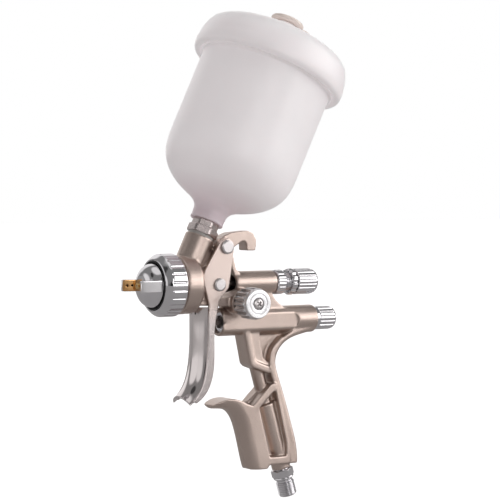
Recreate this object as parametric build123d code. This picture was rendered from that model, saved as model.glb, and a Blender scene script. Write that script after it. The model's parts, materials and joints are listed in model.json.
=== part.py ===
from build123d import *
import os
from math import cos, radians, sin, tan

# HVLP gravity-feed spray gun: cast body, trigger, nozzle set, three control valves and a
# 600 ml plastic cup. Millimetres. Modelled with the fluid needle along X at z = 0, nozzle
# towards -X, then shifted so that the origin is the centre of the air inlet's free end.

os.makedirs("parts", exist_ok=True)

# ---------------------------------------------------------------- driving dimensions
HEAD_R = 20.0              # cast head behind the air cap ring
HEAD_FRONT_X = -24.0
HEAD_REAR_X = -10.6
RING_R = 21.3              # air cap retaining ring
RING_FRONT_X = -41.0
SPIGOT_R = 17.9            # male thread for the ring, modelled plain
UPPER_R = 8.3              # fluid barrel
UPPER_END_X = 54.5
LOWER_R = 9.7              # air valve barrel
LOWER_Z = -26.3
LOWER_FRONT_X = 9.4
BUSH_SEAT_X = 12.5         # shoulder that the air valve's guide bush sits on
LOWER_END_X = 88.0
PANEL_END_X = 64.5         # centre of the round end of the flat side panel
PANEL_HALF = 6.6
SOCKET_R = 10.25           # cup socket, leaning to the rear
CUP_LEAN = 25.6            # degrees from vertical
CUP_ROOT = (0.8, 42.1)     # x, z of the bottom of the cup's plastic neck
CUP_R = 46.6
SOCKET_TOP = -11.5         # along the cup axis, measured from the bottom of the plastic neck
NUT_FROM, NUT_TO = -9.6, -4.4
CONNECTOR_R = 7.0          # thread into the socket, modelled plain
PIVOT = (9.3, 25.4)        # trigger pivot, x, z
PULL_PIN_X = 3.4           # stub pins that pull the needle, on its axis
CHEEK_IN, CHEEK_OUT = 11.0, 13.0
BOW = 5.6                  # how far the finger plate bows forward of its edges
FAN = (23.0, -12.8)        # spray width valve axis, x, z
GRIP_HALF = 9.0             # half the width of the lower grip
GRIP_ROUND = 8.0            # rounding of its front
HANDLE_LEAN = 16.5         # degrees of the air tube and inlet from vertical
TUBE_POINT = (43.2, -66.0)  # a point on the air tube's axis
INLET_END_Z = -149.6
INLET_R = 6.5785           # G1/4 male thread, modelled plain at its major diameter
INLET_THREAD = 11.0
CLEAR = 0.05               # radial clearance of running fits

lean = radians(HANDLE_LEAN)
TUBE_DIR = Vector(sin(lean), 0, -cos(lean))
INLET_END = Vector(TUBE_POINT[0] + (TUBE_POINT[1] - INLET_END_Z) * tan(lean), 0, INLET_END_Z)

cup_frame = Plane(origin=(CUP_ROOT[0], 0, CUP_ROOT[1]), x_dir=(cos(radians(CUP_LEAN)), 0,
                  -sin(radians(CUP_LEAN))), z_dir=(sin(radians(CUP_LEAN)), 0, cos(radians(CUP_LEAN))))
inlet_frame = Plane(origin=INLET_END, x_dir=(cos(lean), 0, sin(lean)), z_dir=TUBE_DIR)


# ---------------------------------------------------------------- helpers
def rod_x(x0, x1, r, z=0.0, y=0.0):
    """Cylinder along X from x0 to x1."""
    return Pos((x0 + x1) / 2, y, z) * Rot(0, 90, 0) * Cylinder(r, x1 - x0)


def rod_y(y0, y1, r, x=0.0, z=0.0):
    """Cylinder along Y from y0 to y1."""
    return Pos(x, (y0 + y1) / 2, z) * Rot(90, 0, 0) * Cylinder(r, y1 - y0)


def turned(points):
    """Solid of revolution about its own Z from (radius, height) points."""
    return revolve(Plane.XZ * make_face(Polyline(*points, close=True)), Axis.Z)


def turned_x(points, z=0.0):
    """Solid of revolution about the X direction at height z from (x, radius) points."""
    flat = Plane.XZ * make_face(Polyline(*points, close=True))
    return Pos(0, 0, z) * revolve(flat, Axis.X)


def turned_y(points, x, z):
    """Solid of revolution about the Y direction from (y, radius) points."""
    flat = Plane.XY * make_face(Polyline(*[(r, y) for y, r in points], close=True))
    return Pos(x, 0, z) * revolve(flat, Axis.Y)


def plate(points, half, round_r=0.0):
    """Side-view outline (x, z) extruded to both sides of the middle plane."""
    face = make_face(Polyline(*points, close=True))
    if round_r:
        face = fillet(face.vertices(), round_r)
    return extrude(Plane.XZ * face, half, both=True)


def fluted(r, length, grooves, groove_r, depth):
    """Grip cylinder along Z from 0 with rounded grooves round its rim."""
    rim = Circle(r) - PolarLocations(r + groove_r - depth, grooves) * Circle(groove_r)
    return extrude(rim, length)


def along_x(shape, x, z=0.0):
    """Place a shape built along +Z so that it runs along +X from x."""
    return Pos(x, 0, z) * Rot(0, 90, 0) * shape


def coil(radius, wire, height, turns):
    """Compression spring along Z from 0, wire centre to wire centre."""
    path = Helix(pitch=height / turns, height=height, radius=radius)
    return sweep(Plane(origin=path @ 0, z_dir=path % 0) * Circle(wire), path=path, is_frenet=True)


def hexagon(across, length):
    """Hexagonal prism along Z from 0, given its width across flats."""
    return extrude(RegularPolygon(across / 2, 6, major_radius=False), length)


# ---------------------------------------------------------------- cast body
def strap():
    """Rear strap of the grip, from the lower barrel round the web of the hand to the bottom."""
    outer = [(86, -34), (74, -36.8), (63.4, -40.3), (56, -46.6), (53.2, -54.5), (55.2, -64),
             (60, -77.7), (66.4, -98.2), (70.6, -114), (71.6, -124.6)]
    inner = [(62.5, -120.5), (60.8, -108), (56.3, -89.2), (51.2, -70.6), (48.6, -62.6),
             (47.6, -54), (49.6, -46), (56.5, -39.4), (66, -34), (70, -30)]
    rear, front = Spline(*outer), Spline(*inner)
    edges = [rear, Line(rear @ 1, (70.4, -126.6)), Line((70.4, -126.6), (62.5, -126.6)),
             Line((62.5, -126.6), front @ 0), front, Line(front @ 1, (86, -30)), Line((86, -30), rear @ 0)]
    body = extrude(Plane.XZ * make_face(edges), 8.0, both=True)
    back = body.edges().filter_by(lambda e: e.length > 60).sort_by(lambda e: e.center().X)[-2:]
    return fillet(back, 2.5)


def grip_web():
    """Thin centre web that closes the pockets of the grip."""
    upper = plate([(30, -30), (34, -54), (50, -60), (49, -52), (54, -42), (66, -30)], 2.0)
    lower = plate([(33, -82), (48, -70), (53, -72), (64, -122), (40, -124)], 2.0)
    return upper + lower


def grip_upper_block():
    """Block under the lower barrel: flat front face and a raised rim round a side recess."""
    block = plate([(27.6, -28), (27.6, -36), (31.8, -55.6), (34.6, -58.2), (47, -62.8), (51, -62),
                   (51, -50), (58, -38), (58, -28)], 7.5)
    block = fillet(block.edges().filter_by(lambda e: abs(e.center().Y) > 7 and e.center().X < 32), 1.6)
    inside = [(32.2, -20), (32.2, -35), (35.8, -52.6), (37.6, -54.2), (48.5, -58.4), (49.5, -50),
              (54, -41), (63, -33), (63, -20)]
    pocket = plate(inside, 20) - plate(inside, 6.2)
    deep_side = [(40.4, -20), (40.4, -40), (43.5, -52.4), (48.5, -56), (49.5, -50), (54, -41),
                 (63, -33), (63, -20)]
    deep = plate(deep_side, 20) - plate(deep_side, 2.0)
    return block - pocket - deep


def grip_lower_block():
    """Lower grip: finger rest, half-round front, sloping top and a pocket behind a raised rim."""
    top = Spline((2.6, -82.6), (10, -79.4), (18.5, -78.9), (28, -82.4))
    front = Spline((31.2, -126.4), (28.0, -114.0), (24.6, -101), (21.4, -93.0), (15.8, -87.0), (9, -85.4),
                   (3.4, -85.0))
    edges = [top, Line((28, -82.4), (33.4, -84.2)), Line((33.4, -84.2), (48.2, -70.2)),
             Line((48.2, -70.2), (52.6, -70.2)), Line((52.6, -70.2), (63.8, -117)),
             Line((63.8, -117), (63.8, -126.4)), Line((63.8, -126.4), (47, -126.4)),
             Line((47, -126.4), (45, -128.8)), Line((45, -128.8), (33.4, -128.8)),
             Line((33.4, -128.8), (31.2, -126.4)), front, Line((3.4, -85.0), (2.6, -82.6))]
    block = extrude(Plane.XZ * make_face(edges), GRIP_HALF, both=True)
    long_front = block.edges().filter_by(
        lambda e: abs(abs(e.center().Y) - GRIP_HALF) < 0.01 and e.center().X < 31 and e.length > 45)
    block = fillet(long_front, GRIP_ROUND)
    pocket_side = [(38.4, -86.4), (50.2, -75.4), (52.2, -75.4), (60.9, -112), (60.9, -121),
                   (47.2, -121)]
    pocket = plate(pocket_side, 20, 1.2) - plate(pocket_side, 2.0)
    return block - pocket


def air_tube(r_up, r_low):
    """Air tube down the grip: slim at the waist, thicker where the inlet screws in."""
    top = TUBE_POINT[1] + 36
    length_up = (top - (-84)) / cos(lean)
    start = Vector(TUBE_POINT[0], 0, TUBE_POINT[1]) - TUBE_DIR * (36 / cos(lean))
    slim = Plane(origin=start, z_dir=TUBE_DIR).location * Pos(0, 0, length_up / 2) * Cylinder(r_up, length_up)
    low_len = (INLET_END_Z + 19.4 - (-84)) / -cos(lean)
    knee = Vector(TUBE_POINT[0] + (TUBE_POINT[1] + 84) * tan(lean), 0, -84)
    thick = Plane(origin=knee, z_dir=TUBE_DIR).location * Pos(0, 0, low_len / 2) * Cylinder(r_low, low_len)
    return slim + thick


def hook():
    """Hanging hook and bridge: from the cup socket back over the trigger pivot."""
    outline = [(-4, 22), (6.0, 24.5), (8.8, 27.2), (11.0, 32.4), (18, 35.0), (31, 36.2), (35.4, 34.4),
               (38.2, 29.6),
               (37.4, 22.4), (30.4, 22.4), (30.2, 26.4), (28.4, 29.4), (24.4, 27.6), (19.6, 24.6),
               (19.0, 20.0), (21.6, 10.0), (24.8, 7.0), (24.8, 0), (21.4, 0), (20.0, 6.0), (15.6, 16.6),
               (4, 12),
               (-4, 12), (-4, 18)]
    face = make_face(Polyline(*outline, close=True))
    soft = face.vertices().filter_by(lambda v: v.X > 15 and v.Y > 9)
    return extrude(Plane.XZ * fillet(soft, 1.2), 5.5, both=True)


def gun_body():
    """The whole casting: head, cup socket, hook, two barrels and the skeleton grip."""
    head = turned_x([(HEAD_FRONT_X - 9, 0), (HEAD_FRONT_X - 9, SPIGOT_R - 0.6),
                     (HEAD_FRONT_X - 8.4, SPIGOT_R),
                     (HEAD_FRONT_X, SPIGOT_R), (HEAD_FRONT_X, HEAD_R - 0.8), (HEAD_FRONT_X + 0.8, HEAD_R),
                     (HEAD_REAR_X - 2.5, HEAD_R - 0.3), (HEAD_REAR_X, HEAD_R - 2.6), (HEAD_REAR_X, 0)])
    hub = turned_x([(-14, 0), (-14, 15.4), (-3.4, 14.2), (-2.4, 13.2), (-2.4, 0)]) & Box(60, 20.8, 60)
    keel = plate([(-14, 0), (-14, -13.8), (-2, -14.4), (14, -15.2), (16, -8.6), (-2.4, -8.6),
                  (-2.4, 0)], 10.2)
    socket = cup_frame.location * Pos(0, 0, SOCKET_TOP - 19) * Cylinder(SOCKET_R, 38)
    barrel = turned_x([(20.6, 0), (20.6, UPPER_R - 1), (21.6, UPPER_R), (UPPER_END_X - 1.0, UPPER_R),
                       (UPPER_END_X, UPPER_R - 0.8), (UPPER_END_X, 0)])
    lower = turned_x([(LOWER_FRONT_X, 0), (LOWER_FRONT_X, LOWER_R - 0.8), (LOWER_FRONT_X + 0.8, LOWER_R),
                      (LOWER_END_X - 1.2, LOWER_R), (LOWER_END_X, LOWER_R - 1.2), (LOWER_END_X, 0)], LOWER_Z)
    web = plate([(21, -3), (20, -7), (15, -13), (14, -20), (72, -20), (60, -17), (54, -12), (50, -6)], 5.5)
    pivot_boss = rod_y(-CHEEK_IN + 0.2, CHEEK_IN - 0.2, 6.4, *PIVOT)
    fan_boss = rod_y(-13.6, 5.0, 9.6, *FAN)
    tube = air_tube(4.6, 6.6)
    grip = grip_upper_block() + grip_lower_block() + grip_web() + strap()
    body = head + hub + keel + socket + barrel + lower + web + pivot_boss + fan_boss + hook() + grip + tube
    bottom, top = LOWER_Z - PANEL_HALF, LOWER_Z + PANEL_HALF
    flat_side = (plate([(8, top), (PANEL_END_X, top), (PANEL_END_X, bottom), (8, bottom)], 20)
                 + rod_y(-20, 20, PANEL_HALF, PANEL_END_X, LOWER_Z))
    body = body - (flat_side - Pos(40, 0, LOWER_Z) * Box(80, 16.0, 40))
    nut_space = cup_frame.location * Pos(0, 0, SOCKET_TOP + 10) * Cylinder(11.6, 20)
    return body - nut_space - body_bores()


def body_bores():
    """Passages drilled in the casting."""
    needle = turned_x([(-40, 0), (-40, 6.1), (-20, 6.1), (-20, 3.0), (-9.6, 3.0), (-9.6, 4.1), (5, 4.1),
                       (5, 0)])
    chamber = rod_x(-40, -27, 15.0) - rod_x(-41, -26, 9.0)
    rear = rod_x(14, 60, 6.2)
    paint = cup_frame.location * Pos(0, 0, SOCKET_TOP - 16) * Cylinder(4.0, 40)
    cup_thread = cup_frame.location * Pos(0, 0, SOCKET_TOP - 5.9) * Cylinder(CONNECTOR_R + CLEAR, 12)
    air = turned_x([(LOWER_FRONT_X - 1, 0), (LOWER_FRONT_X - 1, 7.7), (BUSH_SEAT_X, 7.7), (BUSH_SEAT_X, 6.5),
                    (90, 6.5), (90, 0)], LOWER_Z)
    grip_air = inlet_frame.location * Pos(0, 0, -70) * Cylinder(3.2, 102)
    inlet_thread = inlet_frame.location * Pos(0, 0, -24) * Cylinder(5.2, 14)
    fan = rod_y(-20, 3.2, 4.6, *FAN)
    pivot = rod_y(-20, 20, 2.5, *PIVOT)
    return (needle + chamber + rear + paint + cup_thread + air + grip_air + inlet_thread + fan + pivot)


# ---------------------------------------------------------------- nozzle set
def fluid_nozzle():
    """Fluid tip: threaded shank, hexagon flange and tapered tip round the needle."""
    shape = turned_x([(-53.2, 0.75), (-53.2, 1.9), (-48.6, 2.2), (-46.0, 4.6), (-41.4, 6.4), (-38.8, 8.2),
                      (-36.4, 8.2), (-36.4, 6.0), (-20.6, 6.0), (-20.6, 2.6), (-46.5, 2.6), (-52.2, 0.75)])
    flats = along_x(hexagon(14.6, 2.4), -38.8)
    return shape & (rod_x(-60, -38.8, 20) + flats + rod_x(-36.4, -10, 20))


def air_distributor():
    """Baffle that spreads air evenly to the cap."""
    disc = turned_x([(-36.3, 6.2), (-36.3, 14.6), (-34.4, 15.6), (-33.1, 15.6), (-33.1, 6.2)])
    holes = [Rot(a, 0, 0) * rod_x(-40, -30, 1.1, z=11.4) for a in range(0, 360, 30)]
    return disc - holes


def air_cap():
    """Polished dome with a centre hole and two horns that carry the shaping jets."""
    dome = turned_x([(-37.0, 14.2), (-37.0, 17.3), (-38.9, 17.3), (-38.9, 15.2), (-42.6, 14.9), (-46.4, 13.4),
                     (-49.0, 10.6), (-49.8, 8.0), (-49.8, 2.7), (-48.4, 2.7), (-44.4, 7.2), (-40.4, 9.6),
                     (-38.6, 14.2)])
    horn_side = [(-42.0, 15.0), (-45.0, 15.3), (-56.4, 14.8), (-57.2, 14.0), (-57.2, 11.4), (-49.4, 8.2),
                 (-42.0, 11.5)]
    horn = extrude(make_face(Polyline(*horn_side, close=True)), 4.0, both=True)
    cap = dome + horn + mirror(horn, Plane.XZ)
    for side in (-1, 1):
        for depth, tilt in ((-54.6, 52), (-51.4, 62)):
            start = Vector(depth, side * 10.5, 0)
            aim = Vector(-sin(radians(90 - tilt)), -side * sin(radians(tilt)), 0)
            jet = Plane(origin=start, z_dir=aim).location * Pos(0, 0, 1.0) * Cylinder(0.75, 4.5)
            cap = cap - jet
    return cap


def air_cap_ring():
    """Retaining ring with shallow flutes."""
    grip = along_x(fluted(RING_R, 11.6, 24, 3.2, 0.55), -37.0)
    cone = turned_x([(RING_FRONT_X, 0), (RING_FRONT_X, 17.5), (-39.6, 19.4), (-37.4, 20.5), (-37.0, 20.6),
                     (-37.0, 0)])
    bore = rod_x(-39.05, -20, SPIGOT_R + CLEAR) + rod_x(-45, -30, 16.7)
    return grip + cone - bore


def cap_seal():
    """Black ring between the air cap and the lip of its retaining ring."""
    return turned_x([(-41.2, 15.9), (-41.2, 16.5), (-38.98, 16.5), (-38.98, 15.9)])


# ---------------------------------------------------------------- fluid needle and its control
def fluid_needle():
    """Needle with the collar that the trigger pulls and a guide for the spring."""
    return turned_x([(-53.6, 0), (-52.6, 0.6), (-48.2, 1.25), (-18, 1.25), (-17, 1.75), (5.7, 1.75),
                     (5.7, 5.0),
                     (10.2, 5.0), (10.2, 2.2), (56.0, 2.2), (56.0, 3.9), (58.0, 3.9), (58.0, 1.8),
                     (66.0, 1.8),
                     (66.5, 1.3), (66.5, 0)])


def needle_packing():
    """Seal round the needle in the rear of the head."""
    return turned_x([(-9.5, 1.8), (-9.5, 4.05), (-6.4, 4.05), (-6.4, 1.8)])


def packing_gland():
    """Screw that presses the packing."""
    shape = turned_x([(-6.3, 1.82), (-6.3, 4.05), (-2.35, 4.05), (-2.35, 4.9), (-0.8, 4.9), (-0.8, 1.82)])
    return shape - Pos(-0.8, 0, 0) * Box(1.4, 12, 1.2)


def fluid_bush():
    """Bush screwed into the fluid barrel: fluted flange, then a male thread for the knob."""
    flange = along_x(fluted(8.6, 7.4, 18, 1.6, 0.35), UPPER_END_X + 0.1)
    thread = rod_x(61.9, 69.0, 6.6)
    sleeve = rod_x(46.0, 54.7, 6.2)
    return flange + thread + sleeve - rod_x(40, 80, 4.3)


def lock_ring():
    """Ring that locks the fluid knob's setting."""
    outer = turned_x([(66.4, 6.7), (66.4, 8.9), (67.0, 9.3), (70.6, 9.3), (71.0, 8.9), (71.0, 7.2),
                      (69.2, 7.2),
                      (69.2, 6.65)])
    return outer


def fluid_knob():
    """Fluted knob that limits how far the needle can open."""
    grip = along_x(fluted(9.05, 14.6, 20, 1.6, 0.4), 71.6)
    nose = turned_x([(86.2, 0), (86.2, 8.7), (88.2, 8.0), (89.2, 6.4), (89.2, 0)])
    return grip + nose - rod_x(71, 86.4, 6.9)


def spring_seat():
    """Thrust washer between the needle spring and the knob."""
    return turned_x([(85.4, 1.0), (85.4, 6.5), (86.3, 6.5), (86.3, 1.0)])


def needle_spring():
    """Spring that closes the needle."""
    return along_x(coil(3.0, 0.45, 26.2, 9), 58.6)


# ---------------------------------------------------------------- air valve and its control
def air_valve_stem():
    """Stem that the trigger pushes, with the valve disc."""
    return turned_x([(-7.9, 0), (-7.9, 1.0), (-7.2, 2.0), (26.2, 2.0), (26.2, 5.2), (29.4, 5.2), (29.4, 2.4),
                     (38.0, 2.4), (38.0, 0)], LOWER_Z)


def air_valve_bush():
    """Chromed guide bush in the front of the lower barrel."""
    return turned_x([(11.3, 2.06), (11.3, 6.9), (11.9, 7.6), (12.45, 7.6), (12.45, 6.45), (19.0, 6.45),
                     (19.0, 4.2), (14.0, 4.2), (14.0, 2.06)], LOWER_Z)


def air_valve_packing():
    """Seal round the stem, behind the guide bush."""
    return turned_x([(14.1, 2.04), (14.1, 4.1), (18.6, 4.1), (18.6, 2.04)], LOWER_Z)


def air_valve_seat():
    """Ring that the valve disc closes against."""
    return turned_x([(21.0, 3.2), (21.0, 6.45), (26.1, 6.45), (26.1, 4.0), (24.5, 3.2)], LOWER_Z)


def air_valve_spring():
    """Spring that closes the air valve."""
    return along_x(coil(3.9, 0.5, 24.0, 7), 30.0, LOWER_Z)


def air_control_bush():
    """Bush that closes the rear of the lower barrel and guides the air spindle."""
    return turned_x([(55.0, 2.86), (55.0, 6.45), (88.05, 6.45), (88.05, 8.2), (90.0, 8.2), (90.0, 5.2),
                     (96.0, 5.2), (96.0, 2.86)], LOWER_Z)


def air_spindle():
    """Spindle that throttles the air supply."""
    return turned_x([(57.0, 0), (55.2, 1.6), (56.4, 2.8), (100.0, 2.8), (100.0, 0)], LOWER_Z)


def air_knob():
    """Fluted knob of the air supply valve."""
    grip = along_x(fluted(8.2, 12.4, 16, 1.9, 0.55), 90.2, LOWER_Z)
    nose = turned_x([(102.4, 0), (102.4, 7.8), (104.4, 7.2), (105.2, 6.0), (105.2, 0)], LOWER_Z)
    return grip + nose - rod_x(90, 98, 5.3, LOWER_Z) - rod_x(97, 104.0, 2.9, LOWER_Z)


# ---------------------------------------------------------------- spray width valve
def fan_bush():
    """Bush of the spray width valve, screwed into its boss on the near side."""
    return turned_y([(-17.4, 2.06), (-17.4, 6.0), (-15.6, 7.2), (-13.65, 7.2), (-13.65, 4.55), (-3.0, 4.55),
                     (-3.0, 2.06)], *FAN)


def fan_spindle():
    """Tapered spindle of the spray width valve."""
    return turned_y([(-25.0, 0), (-25.0, 2.0), (-2.4, 2.0), (0.4, 0.6), (0.4, 0)], *FAN)


def fan_knob():
    """Fluted knob with a satin face and a turned groove."""
    rim = Pos(FAN[0], -16.2, FAN[1]) * Rot(90, 0, 0) * fluted(10.9, 12.4, 16, 2.0, 1.3)
    face = turned_y([(-31.6, 3.9), (-31.6, 9.4), (-31.0, 9.9), (-29.8, 10.1), (-28.5, 10.4),
                     (-28.5, 3.9)], *FAN)
    groove = turned_y([(-32, 6.6), (-32, 7.2), (-31.2, 7.2), (-31.2, 6.6)], *FAN)
    hollow = turned_y([(-16, 0), (-16, 7.6), (-20.5, 7.6), (-20.5, 2.1), (-26.5, 2.1), (-26.5, 3.4),
                       (-30.4, 3.4),
                       (-30.4, 4.1), (-33, 4.1), (-33, 0)], *FAN)
    return rim + face - groove - hollow


def fan_knob_screw():
    """Cross-head screw that holds the knob on its spindle."""
    screw = turned_y([(-32.0, 0), (-32.3, 2.2), (-31.6, 3.6), (-30.45, 4.0), (-30.45, 1.5), (-25.05, 1.5),
                      (-25.05, 0)], *FAN)
    cross = [Pos(FAN[0], -32.2, FAN[1]) * Rot(0, a, 0) * Box(4.2, 2.0, 0.9) for a in (45, 135)]
    return screw - cross


# ---------------------------------------------------------------- trigger
def trigger_yoke():
    """Two cheeks that straddle the body and carry the blade."""
    top = [(4.6, 29.6), (-7.4, 10.4), (-9.0, 6.4), (-9.0, 2.2), (-4.6, -13.0)]
    front = Spline((-4.6, -13.0), (-5.0, -37.0), (-6.2, -54.0), (-9.6, -67.4), (-17.6, -77.8))
    rear = Spline((-14.6, -79.4), (-4.4, -69.0), (-0.8, -56.0), (-0.4, -40.0), (0.6, -24.0))
    back = [(0.6, -24.0), (3.4, -11.0), (10.6, -2.6), (12.4, 6.2), (14.8, 22.0), (14.6, 28.4), (11.0, 31.4),
            (4.6, 29.6)]
    edges = [Polyline(*top), front, Line(front @ 1, rear @ 0), rear, Polyline(*back)]
    face = make_face(edges)
    corners = face.vertices().filter_by(lambda v: v.Y > -12 and v.Y < 31.2)
    face = fillet(corners, 1.2)
    side = extrude(Plane.XZ * face, CHEEK_OUT, both=True) - extrude(Plane.XZ * face, CHEEK_IN, both=True)
    holes = rod_y(-20, 20, 2.5 + CLEAR, *PIVOT) + rod_y(-20, 20, 2.2, PULL_PIN_X, 0)
    return side - holes


def trigger_blade():
    """Polished finger plate: a bowed channel swept down the front of the yoke, curling out at the tip."""
    path = Spline((-9.8, 0, -15.4), (-10.2, 0, -37.0), (-11.2, 0, -54.0), (-14.2, 0, -66.6),
                  (-21.8, 0, -75.2))
    half = CHEEK_IN - 0.02
    front = ThreePointArc((BOW, half), (0, 0), (BOW, -half))
    back = ThreePointArc((BOW + 1.2, -half), (1.4, 0), (BOW + 1.2, half))
    section = make_face([front, Line(front @ 1, back @ 0), back, Line(back @ 1, front @ 0)])
    start = Plane(origin=path @ 0, x_dir=(1, 0, 0), z_dir=path % 0)
    holes = [Pos(-9, side * 2.6, -19.6) * Rot(0, 90, 0) * Cylinder(0.8, 8) for side in (-1, 1)]
    return sweep(start * section, path=path) - holes


def pivot_pin():
    """Headed pin that the trigger swings on."""
    return turned_y([(-15.2, 0), (-15.2, 3.6), (-14.6, 4.7), (-13.1, 4.8), (-13.1, 2.49), (14.9, 2.49),
                     (14.9, 0)],
                    *PIVOT)


def pivot_clip():
    """Spring clip on the far end of the pivot pin."""
    ring = turned_y([(13.2, 2.5), (13.2, 4.6), (14.0, 4.6), (14.0, 2.5)], *PIVOT)
    return ring - Pos(PIVOT[0] + 4, 13.6, PIVOT[1]) * Box(5, 3, 1.6)


def pull_pins():
    """Two headed stub pins, one in each cheek, that bear on the needle collar."""
    near = turned_y([(-14.9, 0), (-14.9, 3.4), (-14.3, 4.4), (-13.0, 4.5), (-13.0, 2.2), (-2.3, 2.2),
                     (-2.3, 0)],
                    PULL_PIN_X, 0)
    return Compound(children=[near, mirror(near, Plane.XZ)])


# ---------------------------------------------------------------- air inlet
def inlet_nipple():
    """Air inlet: hexagon, collar and male pipe thread, bored through."""
    hexa = Pos(0, 0, -19.6) * hexagon(14.0, 5.2)
    collar = Pos(0, 0, -14.4) * turned([(0, 0), (6.9, 0), (7.3, 0.6), (6.9, 1.4), (5.4, 2.4), (5.4, 3.4),
                                        (0, 3.4)])
    pipe = turned([(0, -INLET_THREAD), (INLET_R, -INLET_THREAD), (INLET_R, 0), (0, 0)])
    shank = Pos(0, 0, -31) * turned([(0, 0), (5.19, 0), (5.19, 11.4), (0, 11.4)])
    bore = Pos(0, 0, -16) * Cylinder(3.6, 34)
    return inlet_frame.location * (hexa + collar + pipe + shank - bore)


# ---------------------------------------------------------------- cup
def on_cup(shape):
    """Place a shape built on the cup's own axis."""
    return cup_frame.location * shape


def cup_connector():
    """Metal neck of the cup: thread into the socket, hexagon and moulded-in sleeve."""
    thread_end = SOCKET_TOP - 10.0
    thread = Pos(0, 0, thread_end) * turned([(0, 0), (CONNECTOR_R - 0.8, 0), (CONNECTOR_R, 0.8),
                                            (CONNECTOR_R, NUT_FROM - thread_end), (0, NUT_FROM - thread_end)])
    nut = Pos(0, 0, NUT_FROM) * hexagon(19.0, NUT_TO - NUT_FROM)
    corners = Pos(0, 0, NUT_FROM) * turned([(0, 0), (10.2, 0), (11.0, 0.7), (11.0, 4.5), (10.2, 5.2),
                                            (0, 5.2)])
    knurl = Pos(0, 0, NUT_TO) * hexagon(16.4, -NUT_TO - CLEAR)
    sleeve = Pos(0, 0, 6.3) * Cylinder(9.0, 12.7)
    return on_cup(thread + (nut & corners) + knurl + sleeve - Cylinder(5.2, 80))


def cup_gasket():
    """Washer between the cup's hexagon and the socket."""
    return on_cup(Pos(0, 0, SOCKET_TOP + 0.05) * extrude(Circle(9.0) - Circle(CONNECTOR_R + 0.1), 1.8))


def cup_body():
    """Translucent paint cup: neck, sloping shoulder and slightly tapering wall."""
    outer = Polyline((11.9, 0), (11.4, 2.4), (11.8, 8.0), (13.8, 11.4), (18.0, 14.4), (26.0, 18.0),
                     (33.6, 22.4))
    shoulder = Spline((33.6, 22.4), (40.6, 29.0), (44.9, 37.0), (46.4, 46.5))
    inner_shoulder = Spline((44.6, 46.5), (43.2, 37.8), (39.2, 30.4), (32.6, 24.2))
    inner = Polyline((32.6, 24.2), (25.2, 19.9), (16.6, 16.2), (11.0, 13.4), (7.4, 12.8), (7.4, 12.76),
                     (9.05, 12.76), (9.05, 0.0))
    edges = [outer, shoulder, Line((46.4, 46.5), (CUP_R, 111)), Line((CUP_R, 111), (48.1, 112)),
             Line((48.1, 112), (48.1, 130)), Line((48.1, 130), (46.2, 130)), Line((46.2, 130), (45.0, 111)),
             Line((45.0, 111), (44.6, 46.5)), inner_shoulder, inner, Line((9.05, 0.0), (11.9, 0))]
    return on_cup(revolve(Plane.XZ * make_face(edges), Axis.Z))


def cup_lid():
    """Screw lid with a rounded shoulder, flat top, tall vent neck and strap post."""
    foot = Spline((48.5, 112.4), (51.8, 111.6), (53.9, 113.6), (54.5, 118.0), (53.2, 127.0), (51.6, 131.6))
    top = Spline((51.6, 131.6), (49.6, 135.2), (45.6, 137.8), (38.0, 139.4))
    inside = Polyline((0, 140.4), (0, 138.6), (30.0, 137.6), (42.0, 136.4), (45.0, 134.8), (45.6, 134.0),
                      (45.6, 133.2), (48.5, 133.2), (48.5, 112.4))
    edges = [foot, top, Line((38.0, 139.4), (0, 140.4)), inside]
    shell = revolve(Plane.XZ * make_face(edges), Axis.Z)
    neck = Pos(0, 0, 139.0) * turned([(0, 0), (10.4, 0), (9.2, 2.0), (8.6, 13.0), (0, 13.0)])
    post = Pos(27.0, 0, 138.6) * Cylinder(1.6, 6.4, align=(Align.CENTER, Align.CENTER, Align.MIN))
    return on_cup(shell + neck + post - Cylinder(3.0, 400))


def lid_seal():
    """Soft ring between the lid and the cup's rim."""
    return on_cup(Pos(0, 0, 130.1) * extrude(Circle(48.2) - Circle(45.8), 3.0))


def vent_cap():
    """Push-in vent plug with a broad flat head."""
    head = Pos(0, 0, 152.1) * turned([(0, 0), (11.0, 0), (11.9, 0.9), (11.9, 2.4), (10.8, 3.4), (0, 3.8)])
    stem = Pos(0, 0, 142.6) * turned([(0, 0), (2.2, 0), (2.9, 1.2), (2.9, 9.6), (0, 9.6)])
    return on_cup(head + stem)


def vent_strap():
    """Thin strap that loops from the vent plug down to the post on the lid."""
    path = Spline((12.3, 0, 154.0), (18.6, 0, 154.8), (25.4, 0, 151.6), (29.2, 0, 146.4), (29.6, 0, 143.0))
    band = sweep(Plane(origin=path @ 0, x_dir=(0, 1, 0), z_dir=path % 0) * Rectangle(3.0, 0.9), path=path)
    eye = Pos(27.0, 0, 142.0) * extrude(Circle(3.4) - Circle(1.75), 1.4)
    return on_cup(band + eye)


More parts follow.
